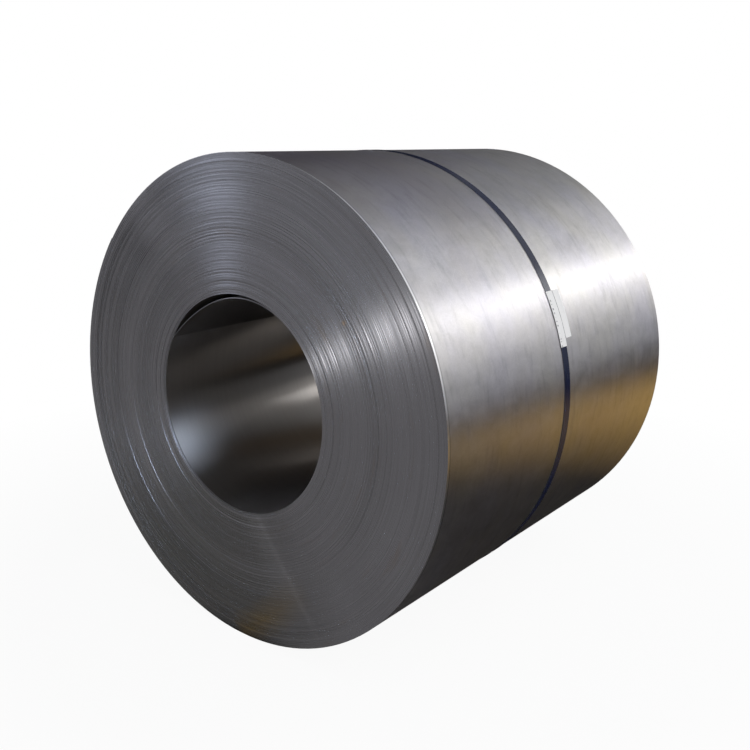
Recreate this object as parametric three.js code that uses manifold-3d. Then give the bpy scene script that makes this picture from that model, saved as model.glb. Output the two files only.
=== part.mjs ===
// A coil of cold-rolled steel strip, lying with its bore level, bound round the middle by one
// steel strap that carries two tags.
//
// Units are millimetres. The coil's axis lies along Y, its front end faces -Y and +Z is up. Angles
// are degrees round the axis as seen from the front: 0 at the right (+X), 90 at the top (+Z).

import * as THREE from "three";
import { mergeVertices } from "three/addons/utils/BufferGeometryUtils.js";
import Module from "manifold-3d";

const wasm = await Module();
wasm.setup();

// ------------------------------------------------------------------------ driving dimensions

// The strip and how it is wound. The outside diameter follows from these.
const BORE_DIAMETER = 610;
const STRIP_WIDTH = 1250;
const STRIP_THICKNESS = 2;
const TURNS = 190;
const OUTER_TAIL_ANGLE = 142; // where the strip's outer end lies
const INNER_TAIL_ANGLE = 149.5; // where its inner end lies

// The innermost turn has sprung off the wall of the bore between its end and this angle.
const LOOSE_FROM_ANGLE = 50;
const LOOSE_SAG = 18; // the widest gap behind it
const LOOSE_TAIL_GAP = 1; // what is left of the gap at its very end
const LOOSE_CROTCH_GAP = 0.4; // where the gap starts

// Where the strip wandered sideways as it was wound: from each of these turns outward, counted from
// the bore, the turns sit this far toward the back. The ends of the coil show it as low steps.
const WANDER = [
  { turn: 0, shift: 0.6 },
  { turn: 4, shift: -0.8 },
  { turn: 25, shift: 0.4 },
  { turn: 54, shift: -0.4 },
  { turn: 88, shift: 0.9 },
  { turn: 115, shift: -0.6 },
  { turn: 139, shift: 1.2 },
  { turn: 166, shift: -1.2 },
  { turn: 186, shift: 0.3 },
];

// The strap, and the crimped seal over its lapped ends.
const STRAP_WIDTH = 32;
const STRAP_THICKNESS = 0.9;
const STRAP_FROM_FRONT = 591; // from the front end to the strap's middle
const STRAP_LAP = 96;
const SEAL_ANGLE = 120; // the seal lies on the flat nearest to this
const SEAL_LENGTH = 57;
const SEAL_THICKNESS = 0.9;
const SEAL_LEG = 11; // how far each leg is folded under the strap

// The tags, side by side: one over the strap, one on the sheet just behind it.
const TAG_WIDTH = 34;
const TAG_THICKNESS = 0.4;
const TAG_TOP_ANGLE = 26.7;
const STRAP_TAG_LENGTH = 158;
const SHEET_TAG_LENGTH = 137;
const TAG_SPACING = 3; // between the two tags' edges

const CLEARANCE = 0.3; // between pieces that lie on one another
const FLATS = 64; // flats round the coil; one of them faces straight down
const HAIR = 1e-6; // degrees: just to one side of a step in a spiral

// ------------------------------------------------------------------------------ worked out

const boreRadius = BORE_DIAMETER / 2;
const coilRadius = boreRadius + TURNS * STRIP_THICKNESS;
const flatAngle = 360 / FLATS;
const strapY = STRAP_FROM_FRONT - STRIP_WIDTH / 2;

// ------------------------------------------------------------------------------- round forms

const radians = THREE.MathUtils.degToRad;
const fullTurn = (angle) => THREE.MathUtils.euclideanModulo(angle, 360);

// The radius, at an angle, of a many-flatted outline whose flats touch a circle.
function onFlats(radius, angle) {
  const fromMiddleOfFlat = angle - flatAngle * Math.round(angle / flatAngle);
  return radius / Math.cos(radians(fromMiddleOfFlat));
}

// Two angles and every corner of the flats between them.
function anglesBetween(from, to) {
  const angles = [from];
  const firstCorner = Math.floor(from / flatAngle - 0.5) + 1;
  for (let corner = firstCorner; (corner + 0.5) * flatAngle < to; corner += 1) {
    angles.push((corner + 0.5) * flatAngle);
  }
  angles.push(to);
  return angles;
}

function pointAt(radius, angle) {
  return new THREE.Vector2(radius * Math.cos(radians(angle)), radius * Math.sin(radians(angle)));
}

// A run of points along a radius that changes with the angle.
function arc(radiusAt, from, to) {
  const angles = from < to ? anglesBetween(from, to) : anglesBetween(to, from).reverse();
  return angles.map((angle) => pointAt(radiusAt(angle), angle));
}

// Extrudes a shape drawn in X and Z along Y, centred on the given Y.
function extrudeAlongY(shape, width, y) {
  const geometry = new THREE.ExtrudeGeometry(shape, { depth: width, bevelEnabled: false });
  geometry.rotateX(Math.PI / 2);
  geometry.translate(0, y + width / 2, 0);
  return geometry;
}

// The ring or patch between two radii that follow the angle, standing on its own width.
function band(innerAt, outerAt, from, to, width, y) {
  const outline = [...arc(outerAt, from, to), ...arc(innerAt, to, from)];
  return extrudeAlongY(new THREE.Shape(outline), width, y);
}

// --------------------------------------------------------------------------- cutting, joining

function toSolid(geometry) {
  const bare = geometry.clone();
  bare.deleteAttribute("normal");
  bare.deleteAttribute("uv");
  const merged = mergeVertices(bare, 1e-4);
  const triangles = [];
  for (let i = 0; i < merged.index.count; i += 3) {
    const [a, b, c] = [0, 1, 2].map((corner) => merged.index.getX(i + corner));
    if (a !== b && b !== c && c !== a) {
      triangles.push(a, b, c);
    }
  }
  return new wasm.Manifold(
    new wasm.Mesh({
      numProp: 3,
      vertProperties: new Float32Array(merged.attributes.position.array),
      triVerts: new Uint32Array(triangles),
    }),
  );
}

function toGeometry(solid) {
  const mesh = solid.getMesh();
  const geometry = new THREE.BufferGeometry();
  geometry.setAttribute("position", new THREE.BufferAttribute(mesh.vertProperties, 3));
  geometry.setIndex(new THREE.BufferAttribute(mesh.triVerts, 1));
  geometry.computeVertexNormals();
  return geometry;
}

// --------------------------------------------------------------------------------- the coil

// The strip winds outward as the angle falls, so each outline is a spiral that comes back one
// strip thickness short of where it began.
function coilOuterAt(angle) {
  const unwound = fullTurn(angle - OUTER_TAIL_ANGLE) / 360;
  return onFlats(coilRadius - STRIP_THICKNESS * unwound, angle);
}

// The wall of the bore, followed from the strip's inner end.
function wallRadius(angle) {
  return boreRadius + (STRIP_THICKNESS * fullTurn(INNER_TAIL_ANGLE - angle)) / 360;
}

// How far the loose turn hangs off the wall: it leaves it gently, swings out furthest near its end
// and comes back to rest on the wall with the end itself.
function looseGap(angle) {
  const along = (angle - LOOSE_FROM_ANGLE) / (INNER_TAIL_ANGLE - LOOSE_FROM_ANGLE);
  return LOOSE_SAG * Math.sin(Math.PI * along ** 2) + LOOSE_TAIL_GAP * along ** 2;
}

function crotchAngle() {
  const along = Math.sqrt(Math.asin(LOOSE_CROTCH_GAP / LOOSE_SAG) / Math.PI);
  return LOOSE_FROM_ANGLE + along * (INNER_TAIL_ANGLE - LOOSE_FROM_ANGLE);
}

function coilOutline() {
  return arc(coilOuterAt, OUTER_TAIL_ANGLE + HAIR, OUTER_TAIL_ANGLE + 360 - HAIR);
}

// The bore's outline goes round the wall, in along the loose turn's inner side, round its end and
// back along its outer side, and then along the wall behind it.
function boreOutline() {
  const end = INNER_TAIL_ANGLE - HAIR;
  const crotch = crotchAngle();
  const wallAt = (angle) => onFlats(wallRadius(angle), angle);
  const looseInnerAt = (angle) => onFlats(wallRadius(angle) - looseGap(angle), angle);
  const looseOuterAt = (angle) =>
    onFlats(wallRadius(angle) - looseGap(angle) + STRIP_THICKNESS, angle);
  const wallBehindAt = (angle) => onFlats(wallRadius(angle) + STRIP_THICKNESS, angle);
  return [
    ...arc(wallAt, INNER_TAIL_ANGLE + HAIR, LOOSE_FROM_ANGLE + 360).slice(0, -1),
    ...arc(looseInnerAt, LOOSE_FROM_ANGLE, end),
    ...arc(looseOuterAt, end, crotch),
    ...arc(wallBehindAt, crotch, end).slice(0, -1),
  ];
}

// A solid turned round the coil's axis whose two ends carry the low steps of the wander.
function turnedEnds() {
  const front = -STRIP_WIDTH / 2;
  const back = STRIP_WIDTH / 2;
  const beyond = coilRadius + 10;
  const steps = WANDER.filter((step) => step.turn < TURNS);
  const profile = [new THREE.Vector2(0, front + steps[0].shift)];
  for (let i = 1; i < steps.length; i += 1) {
    const radius = boreRadius + steps[i].turn * STRIP_THICKNESS;
    profile.push(new THREE.Vector2(radius, front + steps[i - 1].shift));
    profile.push(new THREE.Vector2(radius, front + steps[i].shift));
  }
  profile.push(new THREE.Vector2(beyond, front + steps.at(-1).shift));
  profile.push(new THREE.Vector2(beyond, back + steps.at(-1).shift));
  for (let i = steps.length - 1; i > 0; i -= 1) {
    const radius = boreRadius + steps[i].turn * STRIP_THICKNESS;
    profile.push(new THREE.Vector2(radius, back + steps[i].shift));
    profile.push(new THREE.Vector2(radius, back + steps[i - 1].shift));
  }
  profile.push(new THREE.Vector2(0, back + steps[0].shift));
  return new THREE.LatheGeometry(profile, FLATS, radians(flatAngle / 2));
}

function makeCoil() {
  const shape = new THREE.Shape(coilOutline());
  shape.holes.push(new THREE.Path(boreOutline()));
  const overlong = STRIP_WIDTH + 20;
  const wound = toSolid(extrudeAlongY(shape, overlong, 0));
  return toGeometry(wound.intersect(toSolid(turnedEnds())));
}

// -------------------------------------------------------------------------------- the strap

// The seal lies on one flat of the coil, so it is straight and laid out along that flat.
const sealAngle = flatAngle * Math.round(SEAL_ANGLE / flatAngle);
const legBottom = coilOuterAt(sealAngle) + CLEARANCE;
const legTop = legBottom + SEAL_THICKNESS;

// The outline that a taut loop takes round a set of points, by the monotone chain method.
function tautLoop(points) {
  const sorted = [...points].sort((a, b) => a.x - b.x || a.y - b.y);
  const chain = (run) => {
    const kept = [];
    for (const point of run) {
      while (kept.length > 1) {
        const [before, last] = kept.slice(-2);
        const turn = last.clone().sub(before).cross(point.clone().sub(last));
        if (turn > 1e-9) {
          break;
        }
        kept.pop();
      }
      kept.push(point);
    }
    return kept.slice(0, -1);
  };
  return [...chain(sorted), ...chain([...sorted].reverse())];
}

// The strap is pulled tight round the coil, the step at the strip's outer end and the seal's legs.
function strapSeat() {
  const half = SEAL_LENGTH / 2;
  const legCorners = [-half, half].map((along) => {
    const corner = new THREE.Vector2(legTop, along);
    return corner.rotateAround(new THREE.Vector2(), radians(sealAngle));
  });
  return tautLoop([...coilOutline(), ...legCorners]);
}

const seat = strapSeat();

// The radius of the strap's seat at an angle: where a ray from the axis meets the loop.
function seatAt(angle) {
  const ray = pointAt(1, angle);
  for (let i = 0; i < seat.length; i += 1) {
    const start = seat[i];
    const edge = seat[(i + 1) % seat.length].clone().sub(start);
    const facing = ray.cross(edge);
    const along = start.cross(ray) / facing;
    if (facing > 0 && along >= -1e-9 && along <= 1 + 1e-9) {
      return start.cross(edge) / facing;
    }
  }
  throw new Error(`the strap's loop is open at ${angle} degrees`);
}

const lapAngle = THREE.MathUtils.radToDeg(STRAP_LAP / 2 / coilRadius);

const strapInnerAt = (angle) => seatAt(angle) + CLEARANCE;
const strapOuterAt = (angle) => strapInnerAt(angle) + STRAP_THICKNESS;
const lapOuterAt = (angle) => strapOuterAt(angle) + STRAP_THICKNESS;

function makeStrap() {
  const lapStart = sealAngle - lapAngle;
  const lapEnd = sealAngle + lapAngle;
  const angleOf = (point) => fullTurn(THREE.MathUtils.radToDeg(Math.atan2(point.y, point.x)));
  const seatAngles = seat.map(angleOf).sort((a, b) => a - b);
  const within = seatAngles.filter((angle) => angle > lapStart && angle < lapEnd);
  const beyond = [
    ...seatAngles.filter((angle) => angle > lapEnd),
    ...seatAngles.filter((angle) => angle < lapStart),
  ];
  const outline = [
    ...[lapStart, ...within, lapEnd].map((angle) => pointAt(lapOuterAt(angle), angle)),
    ...[lapEnd, ...beyond, lapStart].map((angle) => pointAt(strapOuterAt(angle), angle)),
  ];
  const shape = new THREE.Shape(outline);
  shape.holes.push(new THREE.Path(seatAngles.map((angle) => pointAt(strapInnerAt(angle), angle))));
  return extrudeAlongY(shape, STRAP_WIDTH, strapY);
}

// A channel folded round both lapped ends, its legs turned in under the strap.
function makeSeal() {
  const innerHalf = STRAP_WIDTH / 2 + CLEARANCE;
  const outerHalf = innerHalf + SEAL_THICKNESS;
  const slotHalf = outerHalf - SEAL_LEG;
  const lidBottom = legTop + CLEARANCE + 2 * STRAP_THICKNESS + CLEARANCE;
  const lidTop = lidBottom + SEAL_THICKNESS;
  const section = new THREE.Shape([
    new THREE.Vector2(-outerHalf, legBottom),
    new THREE.Vector2(-slotHalf, legBottom),
    new THREE.Vector2(-slotHalf, legTop),
    new THREE.Vector2(-innerHalf, legTop),
    new THREE.Vector2(-innerHalf, lidBottom),
    new THREE.Vector2(innerHalf, lidBottom),
    new THREE.Vector2(innerHalf, legTop),
    new THREE.Vector2(slotHalf, legTop),
    new THREE.Vector2(slotHalf, legBottom),
    new THREE.Vector2(outerHalf, legBottom),
    new THREE.Vector2(outerHalf, lidTop),
    new THREE.Vector2(-outerHalf, lidTop),
  ]);
  const geometry = new THREE.ExtrudeGeometry(section, { depth: SEAL_LENGTH, bevelEnabled: false });
  geometry.translate(0, 0, -SEAL_LENGTH / 2);
  return geometry;
}

// --------------------------------------------------------------------------------- the tags

const tagTurn = (length) => THREE.MathUtils.radToDeg(length / coilRadius);

function makeStrapTag() {
  const innerAt = (angle) => strapOuterAt(angle) + CLEARANCE;
  const outerAt = (angle) => innerAt(angle) + TAG_THICKNESS;
  const bottom = TAG_TOP_ANGLE - tagTurn(STRAP_TAG_LENGTH);
  return band(innerAt, outerAt, bottom, TAG_TOP_ANGLE, TAG_WIDTH, strapY);
}

function makeSheetTag() {
  const innerAt = (angle) => coilOuterAt(angle) + CLEARANCE;
  const outerAt = (angle) => innerAt(angle) + TAG_THICKNESS;
  const bottom = TAG_TOP_ANGLE - tagTurn(SHEET_TAG_LENGTH);
  const y = strapY + TAG_WIDTH + TAG_SPACING;
  return band(innerAt, outerAt, bottom, TAG_TOP_ANGLE, TAG_WIDTH, y);
}

// ----------------------------------------------------------------------------- the materials

const rolledSteel = new THREE.MeshStandardMaterial({
  name: "rolled_steel",
  color: 0x6f6d70,
  roughness: 0.38,
  metalness: 1,
});
const strapPaint = new THREE.MeshStandardMaterial({
  name: "strap_paint",
  color: 0x1d2230,
  roughness: 0.45,
  metalness: 0.4,
});
const sealSteel = new THREE.MeshStandardMaterial({
  name: "seal_steel",
  color: 0x3a3d44,
  roughness: 0.4,
  metalness: 0.8,
});
const tagPaper = new THREE.MeshStandardMaterial({
  name: "tag_paper",
  color: 0xe8e8e4,
  roughness: 0.8,
  metalness: 0,
});

// ------------------------------------------------------------------------------ the assembly

function namedMesh(name, geometry, material) {
  const mesh = new THREE.Mesh(geometry, material);
  mesh.name = name;
  return mesh;
}

const coil = new THREE.Group();
coil.add(namedMesh("steel_coil", makeCoil(), rolledSteel));
coil.add(namedMesh("steel_strap", makeStrap(), strapPaint));
coil.add(namedMesh("tag_on_strap", makeStrapTag(), tagPaper));
coil.add(namedMesh("tag_beside_strap", makeSheetTag(), tagPaper));

// The seal's section is drawn with its width along x and the coil's radius along y.
const seal = namedMesh("strap_seal", makeSeal(), sealSteel);
const across = new THREE.Vector3(0, 1, 0);
const outward = new THREE.Vector3(Math.cos(radians(sealAngle)), 0, Math.sin(radians(sealAngle)));
const lengthwise = new THREE.Vector3().crossVectors(across, outward);
seal.setRotationFromMatrix(new THREE.Matrix4().makeBasis(across, outward, lengthwise));
seal.position.y = strapY;
coil.add(seal);

// The part stands on the floor with its origin under the middle of its box.
const part = new THREE.Group();
part.add(coil);
const box = new THREE.Box3().setFromObject(part, true);
coil.position.set(-(box.min.x + box.max.x) / 2, -(box.min.y + box.max.y) / 2, -box.min.z);

export default part;
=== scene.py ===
# %% [markdown]
# A coil of cold-rolled steel strip lies with its bore level. One painted steel strap is drawn tight round
# its middle, closed by a crimped seal, and two paper tags are stuck on its side.
#
# The CAD model is already packed as a fixed frame. This file dresses it: it builds every wrap of the strip
# as real geometry, gives each surface its own procedural finish, and sets up a plain pale studio.

import math

import bmesh
import bpy
import numpy as np
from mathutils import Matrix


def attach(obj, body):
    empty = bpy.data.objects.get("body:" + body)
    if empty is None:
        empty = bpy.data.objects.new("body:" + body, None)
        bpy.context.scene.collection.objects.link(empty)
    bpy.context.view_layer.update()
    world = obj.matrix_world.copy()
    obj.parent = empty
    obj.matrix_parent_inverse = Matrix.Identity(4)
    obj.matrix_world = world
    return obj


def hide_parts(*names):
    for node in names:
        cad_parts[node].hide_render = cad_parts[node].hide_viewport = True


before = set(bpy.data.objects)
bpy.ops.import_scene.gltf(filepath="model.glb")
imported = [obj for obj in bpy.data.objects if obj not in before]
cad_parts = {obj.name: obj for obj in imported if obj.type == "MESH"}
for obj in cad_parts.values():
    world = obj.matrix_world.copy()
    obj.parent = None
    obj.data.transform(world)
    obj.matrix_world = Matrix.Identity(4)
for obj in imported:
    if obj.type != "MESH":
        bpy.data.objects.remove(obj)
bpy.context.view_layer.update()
print("CAD nodes:", sorted(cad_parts))

# %% [markdown]
# Blender works in metres and the coil's sizes are thought of in millimetres, so one constant turns one into
# the other. Each size below is one that a winder or a packer would give: the mandrel's diameter, the strip's
# width and thickness, the number of turns. A spiral is a hair wider on one side than on the other, so the
# axis lies half a millimetre off the middle of the box.

# %% Sizes of the coil
MM = 0.001
BORE_RADIUS = 305.0
COIL_RADIUS = 685.0
STRIP_WIDTH = 1250.0
INNER_END_ANGLE = 149.5
OUTER_END_ANGLE = 142.0
WHOLE_TURNS = 189
WOUND_TOTAL = 360.0 * WHOLE_TURNS + INNER_END_ANGLE - OUTER_END_ANGLE
PITCH = (COIL_RADIUS - BORE_RADIUS) / (WOUND_TOTAL / 360.0 + 1.0)
AXIS_X = 0.0005
AXIS_Z = 0.685503
print(f"{WOUND_TOTAL / 360:.2f} turns at a pitch of {PITCH:.4f} mm")

# %% [markdown]
# Every round piece is built standing on its axis, with its local Z along the coil and its local X and Y
# across it, and is then laid down by a quarter turn. That keeps the sums plain, and it has a second use:
# Blender's own tangent, which drives brushed metal, runs in circles round local Z, just as the rolling
# marks do. Once a piece lies down, its local Y points up and its local Z points out of the front end.

# %% Lay a piece down on the coil's axis
def lay_on_axis(piece):
    piece.rotation_euler = (math.pi / 2, 0.0, 0.0)
    piece.location = (AXIS_X, 0.0, AXIS_Z)
    bpy.context.view_layer.update()
    return piece


print(f"the axis lies {AXIS_Z:.4f} m above the floor")

# %% [markdown]
# A piece is made from a list of points and a list of faces, both worked out in Python. For wound strip that
# suits better than modifiers would, because each point follows from the winding. The points are given in
# millimetres, and validate drops any face that Blender can't use.

# %% From points and faces to a piece
def mesh_piece(name, points_mm, faces, materials, face_material=None):
    mesh = bpy.data.meshes.new(name)
    mesh.from_pydata((np.asarray(points_mm, float) * MM).tolist(), [], faces)
    mesh.validate()
    piece = bpy.data.objects.new(name, mesh)
    bpy.context.scene.collection.objects.link(piece)
    for material in materials:
        mesh.materials.append(material)
    if face_material is not None:
        mesh.polygons.foreach_set("material_index", face_material)
    return piece


def report(piece):
    piece.data.calc_loop_triangles()
    print(piece.name, len(piece.data.loop_triangles), "triangles")


print("points are given in millimetres, each", MM, "m long")

# %% [markdown]
# Faces that meet have to share their points, or the join shows as a line of light, so points that lie on
# one another are welded. The piece is then shaded smooth, except across edges that are sharper than a
# crease: round walls look round, and folded or cut edges stay crisp.

# %% Weld a piece and smooth it up to its edges
WELD_DISTANCE = 0.0005
CREASE = 30.0


def weld(piece, distance_mm=WELD_DISTANCE):
    """Joins points that lie on one another and turns every face outward."""
    shape = bmesh.new()
    shape.from_mesh(piece.data)
    bmesh.ops.remove_doubles(shape, verts=shape.verts, dist=distance_mm * MM)
    bmesh.ops.recalc_face_normals(shape, faces=shape.faces)
    shape.to_mesh(piece.data)
    shape.free()


def close_and_lay(piece, crease_degrees=CREASE):
    """Welds a piece that was built standing, smooths it up to its edges and lays it down."""
    weld(piece)
    piece.data.shade_smooth()
    piece.data.set_sharp_from_angle(angle=math.radians(crease_degrees))
    return lay_on_axis(piece)


print("edges sharper than", CREASE, "degrees stay crisp")

# %% [markdown]
# Most surfaces here are grids: columns of points side by side, with as many rows in each. Quads between
# neighbouring columns make the surface, and the last column can be joined to the first to close a ring.

# %% Faces between columns of points
def grid_faces(columns, rows, closed=False):
    """Quads between neighbouring columns of points. Point number = column * rows + row."""
    last = columns if closed else columns - 1
    faces = []
    for column in range(last):
        after = (column + 1) % columns
        for row in range(rows - 1):
            a = column * rows + row
            b = after * rows + row
            faces.append((a, b, b + 1, a + 1))
    return faces


print("a closed ring of 4 columns and 3 rows has", len(grid_faces(4, 3, closed=True)), "faces")

# %% [markdown]
# Shader maths reads best as plain sums. This small class wraps one socket that carries a number, and each
# operator adds the Math node that it stands for, whichever side of it the plain number is on: 1 - mask
# works as well as mask - 1.

# %% Numbers that change over a surface
class Amount:
    """One number that changes over a surface."""

    def __init__(self, finish, socket):
        self.finish = finish
        self.socket = socket

    def _math(self, operation, first, second=None, clamp=False):
        values = {0: first}
        if second is not None:
            values[1] = second
        settings = {"operation": operation, "use_clamp": clamp}
        return self.finish.amount(self.finish.node("ShaderNodeMath", settings, values))

    def __add__(self, other):
        return self._math("ADD", self, other)

    def __radd__(self, other):
        return self._math("ADD", other, self)

    def __sub__(self, other):
        return self._math("SUBTRACT", self, other)

    def __rsub__(self, other):
        return self._math("SUBTRACT", other, self)

    def __mul__(self, other):
        return self._math("MULTIPLY", self, other)

    def __rmul__(self, other):
        return self._math("MULTIPLY", other, self)

    def __truediv__(self, other):
        return self._math("DIVIDE", self, other)

    def __rtruediv__(self, other):
        return self._math("DIVIDE", other, self)

    def __pow__(self, other):
        return self._math("POWER", self, other)

    def __rpow__(self, other):
        return self._math("POWER", other, self)

    def __abs__(self):
        return self._math("ABSOLUTE", self)

    def clamped(self):
        return self._math("ADD", self, 0.0, clamp=True)

    def between(self, low, high):
        """0 below low, 1 above high, and an even slope between them."""
        return ((self - low) / (high - low)).clamped()


print("sums on an Amount add Math nodes")

# %% [markdown]
# A Finish is one material in the making. Its node method adds any node: first the type, then the settings,
# such as a Math node's operation, and last the value or link of each socket. The other methods are short
# names for nodes that are wanted again and again. Every pattern is laid out in the piece's own metres, so
# it keeps one scale from piece to piece.

# %% Materials, made node by node
class Finish:
    """One procedural material in the making."""

    def __init__(self, name):
        self.material = bpy.data.materials.new(name)
        self.material.use_nodes = True
        self.tree = self.material.node_tree
        self.tree.nodes.clear()
        self.place = self.node("ShaderNodeTexCoord").outputs["Object"]

    def node(self, kind, settings=None, values=None):
        """Any node: its settings go in first, then the value or link of each named socket."""
        made = self.tree.nodes.new(kind)
        for setting, value in (settings or {}).items():
            setattr(made, setting, value)
        for key, value in (values or {}).items():
            self._feed(self._socket(made.inputs, key), value)
        return made

    def _socket(self, sockets, key):
        if isinstance(key, int):
            return sockets[key]
        for socket in sockets:
            if socket.identifier == key:
                return socket
        return sockets[key]

    def _feed(self, socket, value):
        if isinstance(value, Amount):
            self.tree.links.new(value.socket, socket)
        elif isinstance(value, bpy.types.NodeSocket):
            self.tree.links.new(value, socket)
        elif isinstance(value, tuple) and len(value) == 3 and len(socket.default_value) == 4:
            socket.default_value = (*value, 1.0)
        else:
            socket.default_value = value

    def amount(self, made, output=0):
        return Amount(self, self._socket(made.outputs, output))

    def stretched(self, scale):
        made = self.node("ShaderNodeVectorMath", {"operation": "MULTIPLY"}, {0: self.place, 1: scale})
        return made.outputs["Vector"]

    def noise(self, place, detail, roughness, distortion=0.0):
        """Noise from 0 to 1. The place comes already stretched, so the node's own scale stays at 1."""
        values = {
            "Vector": place,
            "Scale": 1.0,
            "Detail": detail,
            "Roughness": roughness,
            "Distortion": distortion,
        }
        return self.amount(self.node("ShaderNodeTexNoise", {"noise_dimensions": "3D"}, values), "Fac")

    def pattern(self, scale, detail, roughness, distortion=0.0):
        """Noise over the piece, finer along an axis the larger that axis's number is."""
        return self.noise(self.stretched(scale), detail, roughness, distortion)

    def parts(self):
        """The local place, taken apart into three numbers."""
        made = self.node("ShaderNodeSeparateXYZ", None, {"Vector": self.place})
        return [self.amount(made, axis) for axis in ("X", "Y", "Z")]

    def joined(self, x, y, z):
        return self.node("ShaderNodeCombineXYZ", None, {"X": x, "Y": y, "Z": z}).outputs["Vector"]

    def distance_from_axis(self):
        flat = self.stretched((1.0, 1.0, 0.0))
        made = self.node("ShaderNodeVectorMath", {"operation": "LENGTH"}, {0: flat})
        return self.amount(made, "Value")

    def blend(self, share, first, second, mode="MIX"):
        made = self.node(
            "ShaderNodeMix",
            {"data_type": "RGBA", "blend_type": mode},
            {"Factor_Float": share, "A_Color": first, "B_Color": second},
        )
        return self._socket(made.outputs, "Result_Color")

    def shaded(self, colour, shade):
        """A colour made lighter or darker by a number."""
        return self.blend(1.0, colour, self.joined(shade, shade, shade), "MULTIPLY")

    def bump(self, height, strength=1.0):
        """Bends the light as a relief would, its height given in metres."""
        values = {"Height": height, "Distance": 1.0, "Strength": strength}
        return self.node("ShaderNodeBump", None, values).outputs["Normal"]

    def surface(self, **values):
        shader = self.node("ShaderNodeBsdfPrincipled", None, values)
        self.node("ShaderNodeOutputMaterial", None, {"Surface": shader.outputs["BSDF"]})
        return self.material


print("each Finish starts from the piece's own place, in metres")

# %% [markdown]
# ## The steel
# Cold-rolled sheet comes off ground rolls, so very fine grooves run along the strip. Light that falls
# across the grooves is spread wide, and light along them is not: that is what Anisotropic does. The
# grooves follow the strip, which here means round the axis, so the rotation is a quarter turn.
#
# Two things are the same on all the sheet: an uneven film of rolling oil, which browns it a little, and
# long soft waves, since no sheet is quite flat.

# %% Oil and waves on the sheet
ALONG_BRUSHING = 0.25


def oil_film(steel):
    return steel.pattern((1.4, 1.4, 2.0), 3.0, 0.6, 0.6).between(0.50, 0.78)


def slow_waves(steel):
    return steel.pattern((1.6, 1.6, 0.9), 1.0, 0.4)


print("grooves are turned by", ALONG_BRUSHING, "of a full turn")

# %% [markdown]
# The outermost wrap has had the most handling, and it shows at every size: broad clouds, a fine mottle,
# smears and smudges along the strip, a grain near the limit of sight, and thin scratches at a slant. Each
# is one noise, stretched its own way, and they are summed into one shade that the bare colour is
# multiplied by. The top is darkened toward the front end with painted shade. Along the front edge runs a
# painted highlight, where a rounded edge would catch the light, with a line of painted shade just behind it.

# %% Marks on the outer wrap
def scratches(steel, arc, z, slant_degrees, seed):
    """Short thin marks that run at a slant to the strip."""
    slant = math.radians(slant_degrees)
    length = z * math.cos(slant) + arc * math.sin(slant)
    across = arc * math.cos(slant) - z * math.sin(slant)
    marks = steel.noise(steel.joined(length * 7.0 + seed, across * 430.0, float(seed)), 1.0, 0.4)
    return marks.between(0.70, 0.77)


def near_front_edge(z, starts_at, full_at):
    """0 away from the strip's front edge and 1 beside it. Both distances from the edge are in mm."""
    edge = STRIP_WIDTH / 2
    return z.between((edge - starts_at) * MM, (edge - full_at) * MM)


print("the front edge lies", STRIP_WIDTH / 2 * MM, "m from the middle of the strip")

# %% Sheet steel of the outer wrap
TOP_PAINTED_SHADE_HEIGHT = (0.44, 0.66)
TOP_PAINTED_SHADE_TOWARD_FRONT = (-0.10, 0.95)


def make_wrap_steel():
    steel = Finish("wrap_steel")
    x, y, z = steel.parts()
    turned = steel.node("ShaderNodeMath", {"operation": "ARCTAN2"}, {0: y, 1: x})
    arc = steel.amount(turned) * (COIL_RADIUS * MM)
    clouds = steel.pattern((2.2, 2.2, 1.6), 4.0, 0.6)
    mottle = steel.pattern((21.0, 21.0, 17.0), 6.0, 0.7, 0.4)
    smears = steel.pattern((4.5, 4.5, 48.0), 4.0, 0.6)
    smudges = steel.pattern((9.0, 9.0, 46.0), 3.0, 0.6).between(0.52, 0.72)
    grain = steel.pattern((240.0, 240.0, 420.0), 2.0, 0.6)
    scratched = (scratches(steel, arc, z, 24.0, 3) + scratches(steel, arc, z, -38.0, 11)).clamped()
    shade = 0.43 + 0.24 * clouds + 0.58 * mottle + 0.12 * smears + 0.26 * grain
    shade = shade + 0.11 * scratched - 0.14 * smudges
    tone = steel.pattern((4.0, 4.0, 5.0), 3.0, 0.6).between(0.36, 0.64)
    bare = steel.blend(tone, (0.494, 0.480, 0.509), (0.515, 0.50, 0.485))
    colour = steel.blend(0.32 * oil_film(steel), steel.shaded(bare, shade), (0.46, 0.40, 0.31))
    # Painted shade: the top of the wrap is darkened toward the front end.
    painted_shade = y.between(*TOP_PAINTED_SHADE_HEIGHT) * (z + 0.5 * clouds + 0.4 * mottle).between(*TOP_PAINTED_SHADE_TOWARD_FRONT)
    colour = steel.blend(0.85 * painted_shade, colour, steel.blend(1.0, colour, (0.44, 0.41, 0.47), "MULTIPLY"))
    # A painted highlight along the front edge, with a line of painted shade just behind it.
    painted_edge_shade = near_front_edge(z, 12.0, 10.5) * (1.0 - near_front_edge(z, 8.5, 7.2))
    painted_edge_highlight = near_front_edge(z, 7.0, 6.0)
    colour = steel.blend(0.45 * painted_edge_shade, colour, (0.16, 0.16, 0.17))
    colour = steel.blend(0.6 * painted_edge_highlight, colour, (0.93, 0.93, 0.94))
    roughness = 0.265 + 0.15 * mottle + 0.04 * smears + 0.07 * clouds + 0.03 * smudges - 0.06 * painted_edge_highlight
    return steel.surface(
        **{
            "Base Color": colour,
            "Metallic": 1.0,
            "Roughness": roughness,
            "Anisotropic": 0.60,
            "Anisotropic Rotation": ALONG_BRUSHING,
            "Normal": steel.bump(0.0022 * slow_waves(steel) + 0.00004 * mottle),
        }
    )


wrap_steel = make_wrap_steel()
print("made", wrap_steel.name, "with", len(wrap_steel.node_tree.nodes), "nodes")

# %% [markdown]
# The bore and the sides of turns that stand proud are the same sheet, but sheltered: nothing has rubbed
# them, so the grooves are sharper and the marks are only long streaks along the strip. One recipe makes
# both, with its colours and its dullness passed in.

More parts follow.
